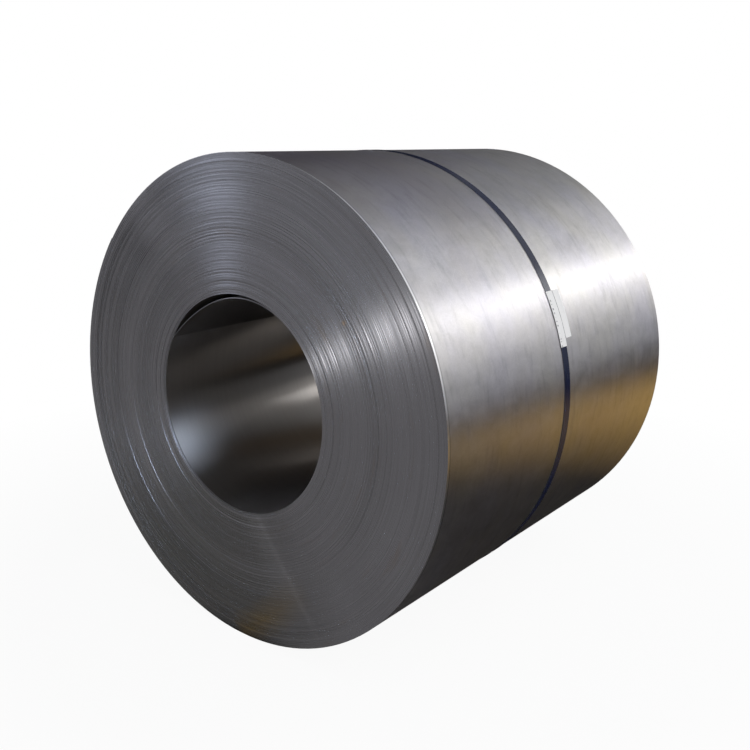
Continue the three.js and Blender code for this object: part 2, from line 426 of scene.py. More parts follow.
# %% Sheet steel of the bore and of the sides that stand proud
def make_sheet_steel(name, bare, oiled, dullness):
    steel = Finish(name)
    clouds = steel.pattern((2.2, 2.2, 1.6), 4.0, 0.6)
    streaks = steel.pattern((2.5, 2.5, 95.0), 4.0, 0.6)
    grey = steel.shaded(bare, 0.86 + 0.16 * clouds + 0.16 * streaks)
    return steel.surface(
        **{
            "Base Color": steel.blend(0.32 * oil_film(steel), grey, oiled),
            "Metallic": 1.0,
            "Roughness": dullness + 0.015 * streaks + 0.07 * clouds,
            "Anisotropic": 0.95,
            "Anisotropic Rotation": ALONG_BRUSHING,
            "Normal": steel.bump(0.0008 * slow_waves(steel)),
        }
    )


# The bore's bare colour is darker than the proud sides': painted shade, for the dim inside of the bore.
bore_steel = make_sheet_steel("bore_steel", (0.33, 0.31, 0.295), (0.29, 0.24, 0.19), 0.26)
side_steel = make_sheet_steel("side_steel", (0.46, 0.46, 0.48), (0.40, 0.36, 0.30), 0.305)
print("made", bore_steel.name, "and", side_steel.name)

# %% [markdown]
# The front end carries three marks of its own, each laid along a line or at a spot on that end: a pale
# streak of painted sheen, which stands for light that the end catches along one line, a rusty run that
# water left at its foot, and a speck of rust beside the bore. A place on the end is told as so far along
# the line and so far beside it, and each mark is then a few soft limits on those two numbers. All of it is
# in metres from the coil's axis.

# %% Marks on the front end
PAINTED_SHEEN_START = (0.072, -0.312)
PAINTED_SHEEN_DIRECTION = (0.611, -0.791)
PAINTED_SHEEN_HALF_WIDTH = 0.015
PAINTED_SHEEN_HALO_HALF_WIDTH = 0.06
PAINTED_SHEEN_HALO_ASIDE = 0.02
RUN_START = (0.0, -0.685)
RUN_DIRECTION = (0.759, 0.651)
RUN_HALF_WIDTH = 0.035
SPECK_PLACE = (0.377, 0.278, 0.0)


def from_line(x, y, start, direction):
    """How far a place lies along a line on the end of the coil, and how far to its left."""
    off_x = x - start[0]
    off_y = y - start[1]
    along = direction[0] * off_x + direction[1] * off_y
    beside = direction[0] * off_y - direction[1] * off_x
    return along, beside


# Painted sheen: a pale streak with a soft halo to one side, standing for light that the end catches.
def painted_sheen_streak(x, y):
    along, beside = from_line(x, y, PAINTED_SHEEN_START, PAINTED_SHEEN_DIRECTION)
    core = 0.20 * (1.0 - abs(beside) / PAINTED_SHEEN_HALF_WIDTH).clamped()
    halo = 0.24 * (1.0 - abs(beside + PAINTED_SHEEN_HALO_ASIDE) / PAINTED_SHEEN_HALO_HALF_WIDTH).clamped()
    halo = halo * (1.0 - along.between(0.0, 0.30))
    return (core + halo) * along.between(-0.03, 0.02) * (1.0 - along.between(0.28, 0.38))


def rusty_run(x, y, blotches, fine):
    along, beside = from_line(x, y, RUN_START, RUN_DIRECTION)
    run = (1.0 - abs(beside) / (RUN_HALF_WIDTH + 0.06 * blotches)).clamped()
    run = run * (1.0 - along.between(0.10, 0.34)) * along.between(-0.02, 0.01)
    return (run * (0.4 + 0.8 * fine)).clamped()


def rust_speck(edge, x, y, fine):
    places = {0: edge.joined(x, y, 0.0), 1: SPECK_PLACE}
    apart = edge.amount(edge.node("ShaderNodeVectorMath", {"operation": "DISTANCE"}, places), "Value")
    return 1.0 - (apart + 0.012 * fine).between(0.008, 0.015)


print("the speck lies", round(math.hypot(*SPECK_PLACE), 3), "m from the axis")

# %% [markdown]
# The ends of the coil are a stack of cut edges. Each edge was sheared, so it is duller than the sheet and
# no two turns catch the light alike. The distance from the axis tells which turn a point is on, and a noise
# that runs fast with that distance and slowly across the end draws rings that fade in and out.

# %% Cut edges of the strip
def make_edge_steel():
    edge = Finish("cut_edges")
    x, y, z = edge.parts()
    radius = edge.distance_from_axis()
    on_front = z.between(0.0, 0.1)
    fine = edge.noise(edge.joined(radius * 330.0, x * 2.4, y * 2.4), 2.0, 0.6)
    broad = edge.noise(edge.joined(radius * 42.0, x * 1.4, y * 1.4), 3.0, 0.6)
    blotches = edge.pattern((6.0, 6.0, 6.0), 4.0, 0.6)
    # The painted sheen lightens the end along its streak.
    painted_sheen = painted_sheen_streak(x, y) * on_front
    shade = 0.79 + 0.20 * fine + 0.06 * broad + 0.16 * blotches + (0.7 + 0.6 * fine) * painted_sheen
    rust = edge.noise(edge.joined(radius * 30.0, x * 5.0, y * 5.0), 4.0, 0.6).between(0.62, 0.80)
    run = rusty_run(x, y, blotches, fine) * on_front
    speck = rust_speck(edge, x, y, fine) * on_front
    colour = edge.blend(0.35 * rust, edge.shaded((0.27, 0.266, 0.278), shade), (0.24, 0.17, 0.11))
    colour = edge.blend(0.75 * run, colour, (0.40, 0.27, 0.09))
    colour = edge.blend(0.6 * speck, colour, (0.42, 0.28, 0.15))
    return edge.surface(
        **{
            "Base Color": colour,
            "Metallic": 1.0,
            "Roughness": 0.445 - 0.37 * fine + 0.04 * broad,
            "Anisotropic": 0.86,
            "Anisotropic Rotation": ALONG_BRUSHING,
        }
    )


edge_steel = make_edge_steel()
print("made", edge_steel.name, "with", len(edge_steel.node_tree.nodes), "nodes")

# %% [markdown]
# Between two turns there is a hairline gap, and what shows in it is the sheet's side, hardly lit. Its
# dull dark finish is painted shade, so that the gaps read as lines.

# %% Painted shade down in the gaps
def make_painted_gap_shade():
    gap = Finish("painted_gap_shade")
    grime = gap.pattern((30.0, 30.0, 30.0), 3.0, 0.6)
    return gap.surface(
        **{
            # Painted shade: the gap's sides are dark, and the noise only varies how dark.
            "Base Color": gap.blend(grime, (0.11, 0.108, 0.106), (0.19, 0.18, 0.17)),
            "Metallic": 0.6,
            "Roughness": 0.55 + 0.2 * grime,
        }
    )


painted_gap_shade = make_painted_gap_shade()
print("made", painted_gap_shade.name)

# %% [markdown]
# ## The wound strip
# The strip is one long spiral. Walking along it from its inner end, a station is set every 2.5 degrees;
# 2.5 divides both the full turn and the 7.5 degrees between the two ends, so the outer end falls on a
# station exactly. At each station the cut edge has four points across its thickness: two on the flat of
# the edge and two down in the hairline gaps to its neighbours.

# %% Stations along the strip
STEP = 2.5
PER_TURN = int(360 / STEP)
LAST = round(WOUND_TOTAL / STEP)
wound = np.arange(LAST + 1) * STEP
angle = np.radians(INNER_END_ANGLE - wound)
turn = wound / 360.0
print(LAST + 1, "stations")

# %% [markdown]
# As it is wound, the strip wanders sideways by a millimetre or so. Mostly it drifts over many turns, as in
# the CAD model, but here and there it jumps outward within a quarter of a turn: the turns that follow then
# stand proud, and the bright side of the strip shows as a thin ring. A finer, random part only ever goes
# inward, so nothing stands proud of the CAD box. Both lists below give a turn, counted from the bore, and
# a size in millimetres.

# %% Sideways wander of the turns
DRIFT = [
    (0.0, 0.6), (2.2, 0.5), (6.0, -0.75), (14.0, -0.8), (20.0, -0.1), (27.0, 0.3), (48.0, 0.4), (56.0, -0.35),
    (74.0, -0.3), (83.0, 0.1), (90.0, 0.9), (105.0, 0.8), (114.0, 0.3), (121.0, -0.6), (134.0, -0.6),
    (142.0, 1.1), (159.0, 1.1), (171.0, -1.2), (183.0, -1.2), (188.0, 0.3), (191.0, 0.3),
]
JUMPS = [(3.5, 0.5), (5.5, 0.3), (23.5, 0.9), (81.5, 1.0), (84.5, 0.3), (117.5, 0.7), (152.5, 0.3)]
JUMP_LENGTH = 0.25
FADE_LENGTH = 7.0
WANDER_LIMIT = 1.2
SMALL_WANDER = 0.09
SMALL_WANDER_SPACING = 0.83
EDGE_INSET = 0.16
chance = np.random.default_rng(12)


def wander_shift():
    shift = np.interp(turn, *zip(*DRIFT))
    for at, size in JUMPS:
        risen = np.clip((turn - at) / JUMP_LENGTH, 0.0, 1.0)
        faded = np.clip((turn - at - JUMP_LENGTH) / FADE_LENGTH, 0.0, 1.0)
        shift -= size * (risen - faded)
    return np.clip(shift, -WANDER_LIMIT, WANDER_LIMIT)


def small_wander():
    knots = np.arange(0, WHOLE_TURNS + 3, SMALL_WANDER_SPACING)
    return np.interp(turn, knots, chance.random(len(knots)) * SMALL_WANDER)


shift_back = wander_shift()
depth = EDGE_INSET + small_wander()
front_z = STRIP_WIDTH / 2 - shift_back - depth
back_z = -STRIP_WIDTH / 2 - shift_back + depth
print(f"front end between {front_z.min():.2f} and {front_z.max():.2f} mm")

# %% [markdown]
# Shears don't cut quite square, and the cut drifts slowly as the knives wear, so neighbouring turns lean
# alike and turns further off don't. The lean of the edges is what draws bright and dark rings where a lamp
# catches the end. On top of the slow drift, every second or third turn leans the other way, and a few
# turns lean much more than the rest: they were nicked or rubbed in handling.

# %% Lean of the cut edges
LEAN_OUTWARD = 0.08
LEAN_LIMIT = 0.36
SLOW_LEANS = [(4.7, 0.04), (13.0, 0.02)]
QUICK_LEANS = 110
LEANING_TURNS = [(12.0, 0.2), (29.5, -0.15), (55.3, 0.2), (96.0, -0.15), (133.5, 0.2), (171.5, -0.15)]


def edge_lean():
    leans = np.full(len(turn), LEAN_OUTWARD)
    for spacing, size in SLOW_LEANS:
        knots = np.arange(0, WHOLE_TURNS + 2 * spacing + 1, spacing)
        leans += np.interp(turn, knots, chance.normal(0.0, size, len(knots)))
    knots = np.cumsum(chance.uniform(1.3, 2.6, QUICK_LEANS))
    heights = np.abs(chance.normal(0.0, 0.13, QUICK_LEANS)) + 0.02
    to_and_fro = np.where(np.arange(QUICK_LEANS) % 2 == 0, 1.0, -1.0)
    leans += np.interp(turn, knots, heights * to_and_fro)
    for middle, size in LEANING_TURNS:
        leans += size * np.clip(1.3 - np.abs(turn - middle), 0.0, 1.0)
    return np.clip(leans, -LEAN_LIMIT, LEAN_LIMIT)


lean = edge_lean()
print(f"edges lean between {lean.min():.2f} and {lean.max():.2f} mm a millimetre")

# %% [markdown]
# The innermost turn has sprung off the wall near its end: it leaves the wall gently, swings out furthest
# shortly before its end, and comes back to rest with the end itself.

# %% Radii of the strip's two sides
LOOSE_FROM_ANGLE = 50.0
LOOSE_SAG = 18.0
LOOSE_END_GAP = 1.0

along = np.clip(1.0 - wound / (INNER_END_ANGLE - LOOSE_FROM_ANGLE), 0.0, 1.0)
loose_gap = LOOSE_SAG * np.sin(math.pi * along**2) + LOOSE_END_GAP * along**2
seat_radius = BORE_RADIUS + PITCH * turn
inner_radius = seat_radius - loose_gap
outer_radius = inner_radius + PITCH
LOOSE_STATIONS = int(math.ceil((INNER_END_ANGLE - LOOSE_FROM_ANGLE) / STEP))
print(f"widest gap {loose_gap.max():.1f} mm, outside radius {outer_radius.max():.2f} mm")

# %% [markdown]
# An end is built with four points a station and three quads between one station and the next. That is some
# 160,000 triangles for each end, which buys edges that stay true however close one looks. The quads that go
# down into a gap get the painted shade, unless the neighbouring turn stands so far back that the side of the
# strip comes into the light.

# %% Points across the edge of the strip
GAP_HALF = 0.06
GAP_DEPTH = 0.30
RISE_LIMIT = 0.15


def at_station(station, radius, z):
    return np.stack([radius * np.cos(angle[station]), radius * np.sin(angle[station]), z], axis=-1)


def gap_floor(side_z, inward, neighbour):
    """How far the side of the strip is followed down: past its own edge and past its neighbour's."""
    station = np.arange(LAST + 1)
    beside = np.clip(station + neighbour * PER_TURN, 0, LAST)
    own = inward * side_z
    return inward * (np.maximum(own, own[beside]) + GAP_DEPTH)


def side_in_light(side_z, inward, neighbour):
    """How much of the strip's side its neighbour leaves bare."""
    return inward * gap_floor(side_z, inward, neighbour) - GAP_DEPTH - inward * side_z


def edge_points(side_z, inward):
    station = np.arange(LAST + 1)
    rise = np.clip(0.5 * lean * (PITCH - 2 * GAP_HALF), -RISE_LIMIT, RISE_LIMIT)
    rows = [
        at_station(station, inner_radius, gap_floor(side_z, inward, -1)),
        at_station(station, inner_radius + GAP_HALF, side_z - inward * rise),
        at_station(station, outer_radius - GAP_HALF, side_z + inward * rise),
        at_station(station, outer_radius, gap_floor(side_z, inward, 1)),
    ]
    return np.stack(rows, axis=1).reshape(-1, 3)


print(f"the strip's side is bare by up to {side_in_light(front_z, -1.0, -1).max():.2f} mm")

# %% The two ends of the coil
PROUD_STEP = 0.28
CUT_EDGE, PROUD_SIDE, IN_THE_GAP = 0, 1, 2


def make_end(name, side_z, inward):
    faces = grid_faces(LAST + 1, 4)
    faces += [(0, 1, 2, 3), tuple(LAST * 4 + row for row in (3, 2, 1, 0))]
    shown = np.full((LAST, 3), CUT_EDGE)
    for quad, neighbour in ((0, -1), (2, 1)):
        bare = side_in_light(side_z, inward, neighbour)[:-1]
        shown[:, quad] = np.where(bare > PROUD_STEP, PROUD_SIDE, IN_THE_GAP)
    finishes = [edge_steel, side_steel, painted_gap_shade]
    face_finish = [*shown.ravel().tolist(), CUT_EDGE, CUT_EDGE]
    return close_and_lay(mesh_piece(name, edge_points(side_z, inward), faces, finishes, face_finish))


front_end = make_end("coil_front_end", front_z, -1.0)
back_end = make_end("coil_back_end", back_z, 1.0)
report(front_end)
report(back_end)

# %% [markdown]
# The sheet itself shows in two places: the outermost wrap with the step at its end, and the wall of the
# bore with the loose turn. Both are run round the axis as a closed loop of columns, with rows along the
# width. At its front and back each column ends on the same gap floor as the coil's ends do, so nothing
# shows between them.

# %% A wall between the coil's two ends
FRONT_FLOOR = {side: gap_floor(front_z, -1.0, side) for side in (-1, 1)}
BACK_FLOOR = {side: gap_floor(back_z, 1.0, side) for side in (-1, 1)}


def make_wall(name, stations, radii, beside, rows, finish):
    """A closed loop of columns of points, each from the front edge to the back edge of the strip."""
    share = np.linspace(0.0, 1.0, rows)
    columns = []
    for station, radius, neighbour in zip(stations, radii, beside):
        front = FRONT_FLOOR[neighbour][station]
        back = BACK_FLOOR[neighbour][station]
        z = front + (back - front) * share
        columns.append(at_station(np.full(rows, station), np.full(rows, radius), z))
    faces = grid_faces(len(stations), rows, closed=True)
    return close_and_lay(mesh_piece(name, np.concatenate(columns), faces, [finish]))


print("walls run from", round(FRONT_FLOOR[1][-1]), "to", round(BACK_FLOOR[1][-1]), "mm")

# %% The outer wrap
OUTER_ROWS = 40


def make_outer_wrap():
    stations = np.arange(LAST - PER_TURN, LAST + 1)
    beside = np.ones(len(stations), int)
    return make_wall("coil_outer_wrap", stations, outer_radius[stations], beside, OUTER_ROWS, wrap_steel)


outer_wrap = make_outer_wrap()
report(outer_wrap)

# %% [markdown]
# The bore's wall follows the inside of the strip for one turn and on under the loose part, and then comes
# back along the outside of the loose part. The gap behind the loose turn is then open from end to end.

# %% The wall of the bore and the loose turn
BORE_ROWS = 30


def make_bore_wall():
    inside = np.arange(0, PER_TURN + LOOSE_STATIONS + 1)
    outside = np.arange(LOOSE_STATIONS - 1, -1, -1)
    stations = np.concatenate([inside, outside])
    radii = np.concatenate([inner_radius[inside], outer_radius[outside]])
    beside = np.concatenate([np.full(len(inside), -1), np.full(len(outside), 1)])
    return make_wall("coil_bore_wall", stations, radii, beside, BORE_ROWS, bore_steel)


bore_wall = make_bore_wall()
report(bore_wall)
for coil_piece in (front_end, back_end, outer_wrap, bore_wall):
    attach(coil_piece, "root")
    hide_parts("steel_coil")

# %% [markdown]
# ## The strap
# A steel strap is pulled tight, so its path is the taut loop round everything under it: the coil, the step
# at the strip's outer end and the two legs of the seal. The loop is worked out as a convex outline, and a
# ray from the axis then gives its radius at any angle. Nothing needs to be fitted by eye.

# %% Sizes of the strap and its seal
STRAP_Y = -34.0
STRAP_WIDTH = 32.0
STRAP_THICKNESS = 0.9
STRAP_LAP = 96.0
SEAL_ANGLE = 118.125
SEAL_LENGTH = 57.0
SEAL_THICKNESS = 0.9
SEAL_LEG = 11.0
CLEARANCE = 0.3


def coil_outside(degrees):
    return COIL_RADIUS - PITCH * ((degrees - OUTER_END_ANGLE) % 360.0) / 360.0


def on_circle(radius, degrees):
    return radius * math.cos(math.radians(degrees)), radius * math.sin(math.radians(degrees))


leg_bottom = coil_outside(SEAL_ANGLE) + CLEARANCE
leg_top = leg_bottom + SEAL_THICKNESS
print(f"the seal's legs lie between {leg_bottom:.2f} and {leg_top:.2f} mm from the axis")

# %% [markdown]
# The convex outline of a set of points comes from walking them from left to right and back: each point that
# would make the walk bend inward is dropped again. What is left is the shape that a tight band takes.

# %% The taut loop that the strap follows
OUTLINE_STEP = 0.5
ROUNDING = 1e-9


def beside_seal(radius, along_mm):
    """A place that lies so far along the seal, whose length is straight and square to its own radius."""
    facing = math.radians(SEAL_ANGLE)
    x = radius * math.cos(facing) - along_mm * math.sin(facing)
    y = radius * math.sin(facing) + along_mm * math.cos(facing)
    return x, y


def taut_loop(points):
    points = sorted(points)

    def chain(run):
        kept = []
        for x, y in run:
            while len(kept) > 1:
                (ax, ay), (bx, by) = kept[-2:]
                if (bx - ax) * (y - by) - (by - ay) * (x - bx) > ROUNDING:
                    break
                kept.pop()
            kept.append((x, y))
        return kept[:-1]

    return chain(points) + chain(points[::-1])


def strap_seat():
    once_round = np.arange(OUTER_END_ANGLE, OUTER_END_ANGLE + 360.0, OUTLINE_STEP)
    around = [on_circle(coil_outside(degrees), degrees) for degrees in once_round]
    around += [beside_seal(leg_top, end) for end in (-SEAL_LENGTH / 2, SEAL_LENGTH / 2)]
    return np.array(taut_loop(around))


seat_loop = strap_seat()
loop_edge = np.roll(seat_loop, -1, axis=0) - seat_loop


def seat_at(degrees):
    """How far from the axis the strap lies at an angle: where a ray crosses the loop."""
    ray = np.array(on_circle(1.0, degrees))
    facing = ray[0] * loop_edge[:, 1] - ray[1] * loop_edge[:, 0]
    along_edge = (seat_loop[:, 0] * ray[1] - seat_loop[:, 1] * ray[0]) / facing
    hit = (facing > 0) & (along_edge >= -ROUNDING) & (along_edge <= 1 + ROUNDING)
    cross = seat_loop[:, 0] * loop_edge[:, 1] - seat_loop[:, 1] * loop_edge[:, 0]
    return float((cross / facing)[hit].max())


print(f"strap seat {seat_at(0):.2f} mm at the side, {seat_at(SEAL_ANGLE):.2f} mm under the seal")

# %% [markdown]
# The seal is closed by a tool that nips both its sides, and the strap's edges with them, at three places.
# Each nip is a rounded dent. Strap and seal take it from one function, so that they fit together.

# %% How the crimps nip the sides
CRIMPS = (-17.0, 0.0, 17.0)
CRIMP_HALF = 5.5
CRIMP_DEPTH = 2.6
CRIMP_ROUND = 0.7


def crimp_at(along_mm):
    """How deep the sides are nipped in, at a place along the seal."""
    near = [abs(along_mm - at) for at in CRIMPS if abs(along_mm - at) < CRIMP_HALF]
    nips = [math.cos(away / CRIMP_HALF * math.pi / 2) for away in near]
    return CRIMP_DEPTH * max(nips, default=0.0) ** CRIMP_ROUND


print("nipped by", crimp_at(0.0), "mm at a crimp and", crimp_at(8.5), "mm between two")

# %% [markdown]
# Steel strapping is blued or painted dark, thinly, and the paint wears off its edges first. The paint's
# gloss is low, so that it stays dark blue where the steel beside it is white with light; scuffs let a
# little bare metal through.

# %% Paint of the strap
EDGE_WEAR = 1.2


def make_strap_paint():
    paint = Finish("strap_paint")
    clouds = paint.pattern((9.0, 9.0, 9.0), 4.0, 0.6)
    scuffs = paint.pattern((14.0, 14.0, 300.0), 4.0, 0.65).between(0.60, 0.74)
    z = paint.parts()[2]
    half = STRAP_WIDTH / 2
    worn_edge = abs(z + STRAP_Y * MM).between((half - EDGE_WEAR) * MM, half * MM)
    wear = (scuffs * 0.35 + worn_edge * (0.15 + 0.5 * clouds)).clamped()
    dark = paint.blend(clouds, (0.006, 0.009, 0.029), (0.011, 0.017, 0.052))
    return paint.surface(
        **{
            "Base Color": paint.blend(wear, dark, (0.16, 0.16, 0.17)),
            "Metallic": 0.7 * wear,
            "Roughness": 0.19 + 0.12 * clouds,
            "IOR": 1.24,
            "Normal": paint.bump(0.0001 * clouds, 0.5),
        }
    )


strap_paint = make_strap_paint()
print("made", strap_paint.name)

# %% [markdown]
# The strap is one ribbon that goes once round and a little further. Its first end lies under its last, so
# the last stretch climbs by one thickness just before the lap. It is drawn as a row of cross-sections,
# close together where the crimps are and a degree apart elsewhere.

# %% A solid from a row of cross-sections
def ribbon_section(low, high, half, edge):
    """Eight points round a flat band with rounded edges, as (radius, along the axis)."""
    return [
        (low, -half + edge), (low, half - edge), (low + edge, half), (high - edge, half),
        (high, half - edge), (high, -half + edge), (high - edge, -half), (low + edge, -half),
    ]


def closed_tube(name, sections, materials):
    """A solid from rings of points, each ring one cross-section, with a cap at each end."""
    count = len(sections[0])
    points = [point for section in sections for point in section]
    faces = []
    for ring in range(len(sections) - 1):
        for corner in range(count):
            after = (corner + 1) % count
            a = ring * count + corner
            b = ring * count + after
            faces.append((a, b, b + count, a + count))
    faces.append(tuple(range(count))[::-1])
    faces.append(tuple(range(len(points) - count, len(points))))
    return mesh_piece(name, points, faces, materials)


print("a band's section has", len(ribbon_section(0.0, 1.0, 1.0, 0.1)), "points")

# %% The strap
EDGE_ROUND = 0.22
LAP_GAP = 0.02
CLIMB_BEFORE_LAP = 4.0
CLIMB_LENGTH = 3.6
FINE_STEP = 0.08
COARSE_STEP = 1.0
STRAP_ABOVE_COIL = 2.0
strap_mid_radius = coil_outside(SEAL_ANGLE) + STRAP_ABOVE_COIL
lap_angle = math.degrees(STRAP_LAP / 2 / strap_mid_radius)


def strap_angles():
    fine = SEAL_ANGLE + np.arange(-lap_angle, lap_angle + 0.01, FINE_STEP)
    coarse = np.arange(SEAL_ANGLE + lap_angle, SEAL_ANGLE - lap_angle + 360.0, COARSE_STEP)[1:]
    return np.concatenate([fine, coarse, fine + 360.0])


def strap_lift(degrees):
    """How far the strap has climbed onto its own first end: a soft rise from 0 to one thickness."""
    climb_from = SEAL_ANGLE - lap_angle + 360.0 - CLIMB_BEFORE_LAP
    climb = np.clip((degrees - climb_from) / CLIMB_LENGTH, 0.0, 1.0)
    return (3 * climb**2 - 2 * climb**3) * (STRAP_THICKNESS + LAP_GAP)


def make_strap():
    sections = []
    for degrees in strap_angles():
        low = seat_at(degrees) + CLEARANCE + strap_lift(degrees)
        from_seal = (degrees - SEAL_ANGLE + 180.0) % 360.0 - 180.0
        half = STRAP_WIDTH / 2 - crimp_at(math.radians(from_seal) * strap_mid_radius)
        section = ribbon_section(low, low + STRAP_THICKNESS, half, EDGE_ROUND)
        sections.append([(*on_circle(radius, degrees), -STRAP_Y + across) for radius, across in section])
    return close_and_lay(closed_tube("painted_strap", sections, [strap_paint]))


strap = make_strap()
report(strap)
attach(strap, "root")
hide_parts("steel_strap")

# %% [markdown]
# The seal is a short channel of steel, slid over both ends and folded under them, and then crimped at
# three places. Its section is walked round as an outline, and at each crimp the two sides are nipped in
# and the lid dips beside them. It is bare steel gone dark, rubbed bright here and there.

# %% Steel of the seal
def make_seal_steel():
    steel = Finish("seal_steel")
    clouds = steel.pattern((60.0, 60.0, 60.0), 4.0, 0.6)
    rub = steel.pattern((80.0, 80.0, 900.0), 3.0, 0.6).between(0.55, 0.75)
    return steel.surface(
        **{
            "Base Color": steel.blend(rub, (0.12, 0.125, 0.145), (0.34, 0.34, 0.35)),
            "Metallic": 0.85,
            "Roughness": 0.30 + 0.25 * clouds,
            "Normal": steel.bump(0.0002 * clouds, 0.4),
        }
    )


seal_steel = make_seal_steel()
print("made", seal_steel.name)

# %% The crimped seal
SEAL_BEND = 0.45
LID_FLAT_FROM = 5.0
LID_DIP_SHARE = 0.10
SEAL_SECTIONS = 96
SEAL_CREASE = 40.0


def mirrored(points):
    """The same points on the other side of the middle, walked the other way."""
    return [(-across, radius) for across, radius in points[::-1]]


def seal_section(along_mm):
    nip = crimp_at(along_mm)
    inner = STRAP_WIDTH / 2 + CLEARANCE - nip
    outer = inner + SEAL_THICKNESS
    slot = outer - SEAL_LEG
    lid_low = leg_top + CLEARANCE + 2 * STRAP_THICKNESS + CLEARANCE
    lid_high = lid_low + SEAL_THICKNESS
    dip = LID_DIP_SHARE * nip
    right_outside = [
        (slot, leg_bottom),
        (outer - SEAL_BEND, leg_bottom),
        (outer, leg_bottom + SEAL_BEND),
        (outer, lid_high - SEAL_BEND - dip),
        (outer - SEAL_BEND, lid_high - dip),
        (outer - LID_FLAT_FROM, lid_high),
    ]
    right_inside = [
        (inner - LID_FLAT_FROM, lid_low),
        (inner, lid_low - dip),
        (inner, leg_top),
        (slot, leg_top),
    ]
    return right_outside + mirrored(right_outside) + mirrored(right_inside) + right_inside


def make_seal():
    sections = []
    for along_mm in np.linspace(-SEAL_LENGTH / 2, SEAL_LENGTH / 2, SEAL_SECTIONS):
        section = seal_section(along_mm)
        sections.append([(*beside_seal(radius, along_mm), -STRAP_Y + across) for across, radius in section])
    return close_and_lay(closed_tube("crimped_seal", sections, [seal_steel]), SEAL_CREASE)


seal = make_seal()
report(seal)
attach(seal, "root")
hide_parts("strap_seal")

# %% [markdown]
# ## The tags
# Two paper tags are stuck side by side: one over the strap, one on the sheet just behind it. The one on
# the sheet is blank. The other has a row of short plain ticks down one edge, of uneven length and with some
# missing, as worn ruling has, and no lettering. Paper is matt, with a fibre that only a close look shows
# and some grime. A dark band on the blank tag's edge beside the other is painted shadow, for the gap
# between them. Both are one material, since each mark lies at its own place along the coil.

# %% Paper of the tags
TAG_WIDTH = 34.0
TAG_SPACING = 3.0
TICK_ROW = -STRAP_Y + 9.5
TICK_HALF_WIDTH = 3.6
TICK_PERIOD = 11.0
# Where the painted shadow lies on the blank tag's edge, in mm along the coil: starts, full, fades, ends.
PAINTED_SHADOW_EDGE = (12.2, 12.8, 15.5, 16.0)


def ruled_ticks(paper, y, z):
    off_row = (z - TICK_ROW * MM) / (TICK_HALF_WIDTH * MM)
    in_row = (1.0 - off_row * off_row).between(0.0, 0.2)
    down = paper.amount(paper.node("ShaderNodeMath", {"operation": "FRACT"}, {0: y / (TICK_PERIOD * MM)}))
    length = 0.05 + 1.1 * paper.noise(paper.joined(0.0, y * 90.0, 0.0), 1.0, 0.5)
    kept = paper.noise(paper.joined(3.0, y * 60.0, 5.0), 1.0, 0.5).between(0.44, 0.52)
    return in_row * kept * (down - length).between(0.0, 0.05)


def make_tag_paper():
    paper = Finish("tag_paper")
    fibre = paper.pattern((900.0, 900.0, 900.0), 3.0, 0.6)
    grime = paper.pattern((45.0, 45.0, 45.0), 4.0, 0.6).between(0.58, 0.80)
    y, z = paper.parts()[1:]
    clean = paper.blend(0.35 * grime, (0.955, 0.945, 0.94), (0.76, 0.74, 0.71))
    ticked = paper.blend(0.75 * ruled_ticks(paper, y, z), clean, (0.25, 0.25, 0.28))
    # Painted shadow: the blank tag's edge beside the other is darkened.
    starts, full, fades, ends = [place * MM for place in PAINTED_SHADOW_EDGE]
    painted_shade = z.between(starts, full) * (1.0 - z.between(fades, ends))
    return paper.surface(
        **{
            "Base Color": paper.blend(0.9 * painted_shade, ticked, (0.14, 0.14, 0.16)),
            "Roughness": 0.55 + 0.15 * fibre,
            "Normal": paper.bump(0.00006 * fibre, 0.6),
        }
    )


tag_paper = make_tag_paper()
print("made", tag_paper.name)

# %% [markdown]
# A sheet of paper never lies quite flat: these ripple by a few tenths of a millimetre and lift at one
# corner. The ripple is a sum of slow waves down and across the tag, with sizes and starts drawn from a
# seeded generator, so that they come out the same each time. Each wave uses three of its four draws.

# %% Ripple of a tag
RIPPLES = 9
RIPPLE_HEIGHT = 0.10
RIPPLE_ABOVE_SEAT = 1.2
CORNER_LIFT = 1.1
CORNER_DOWN = 0.93
CORNER_OVER = 0.55


def paper_lift(waves, down, over):
    """How far the paper stands off, at a share of the way down and a share of the way over."""
    swell = RIPPLE_ABOVE_SEAT
    for count, (size, start, across) in enumerate(waves, start=1):
        slow = math.cos(math.pi * (down * count + start))
        swell += (size - 0.5) * slow * math.cos(math.pi * over * across * 2)
    corner = max(0.0, down - CORNER_DOWN) / (1.0 - CORNER_DOWN)
    corner *= max(0.0, over - CORNER_OVER) / (1.0 - CORNER_OVER)
    return max(RIPPLE_HEIGHT * swell + CORNER_LIFT * corner**2, 0.0)


print("the corner lifts by", CORNER_LIFT, "mm")

# %% [markdown]
# A tag is a grid of points on the round of its seat, laid twice, one paper's thickness apart, with a band of
# quads round the border to close it. The seat is passed in as a function of the angle, since one tag lies on
# the strap and the other on the sheet.

# %% The paper tags
TAG_THICKNESS = 0.4
TAG_TOP_ANGLE = 26.7
STRAP_TAG_LENGTH = 158.0
SHEET_TAG_LENGTH = 137.0
TAG_ROWS = 64
TAG_COLUMNS = 15
TAG_CREASE = 45.0


def border_of_grid(rows, columns):
    """The numbers of a grid's outermost points, walked once round."""
    border = [row * columns for row in range(rows)]
    border += [(rows - 1) * columns + column for column in range(1, columns)]
    border += [row * columns + columns - 1 for row in range(rows - 2, -1, -1)]
    return border + list(range(columns - 2, 0, -1))


def tag_points(length, y_middle, seat, waves):
    tops = []
    unders = []
    for row in range(TAG_ROWS):
        down = row / (TAG_ROWS - 1)
        degrees = TAG_TOP_ANGLE - math.degrees(length / COIL_RADIUS) * down
        for column in range(TAG_COLUMNS):
            over = column / (TAG_COLUMNS - 1)
            z = -y_middle + (over - 0.5) * TAG_WIDTH
            radius = seat(degrees) + CLEARANCE + paper_lift(waves, down, over)
            unders.append((*on_circle(radius, degrees), z))
            tops.append((*on_circle(radius + TAG_THICKNESS, degrees), z))
    return tops + unders


